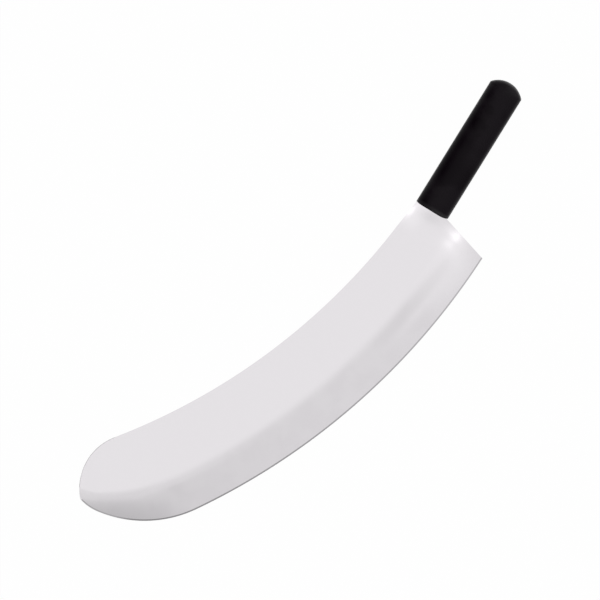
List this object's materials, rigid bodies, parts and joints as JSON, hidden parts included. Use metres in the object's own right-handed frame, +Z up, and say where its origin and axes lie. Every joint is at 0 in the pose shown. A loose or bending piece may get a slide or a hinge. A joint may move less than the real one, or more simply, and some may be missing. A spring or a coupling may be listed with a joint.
{
  "type": "chopping knife",
  "caption": "Long curved chopping knife with a wide ground steel blade, rounded tip and straight black moulded handle, for rocking and mincing.",
  "frame": {"origin": "middle of the knife's bounding box, on the surface that the knife lies on", "axes": "+X along the handle from the blade towards the butt, +Y towards the blade's spine, +Z up from the surface"},
  "size_m": [0.5292, 0.2094, 0.0275],
  "materials": {
    "blade_steel": "satin-ground stainless steel, with grinding lines across the bevel",
    "handle_plastic": "black polypropylene, fine moulded grain, slightly polished by use"
  },
  "bodies": {
    "root": {"blade": "blade_steel", "handle": "handle_plastic"}
  },
  "joints": []
}
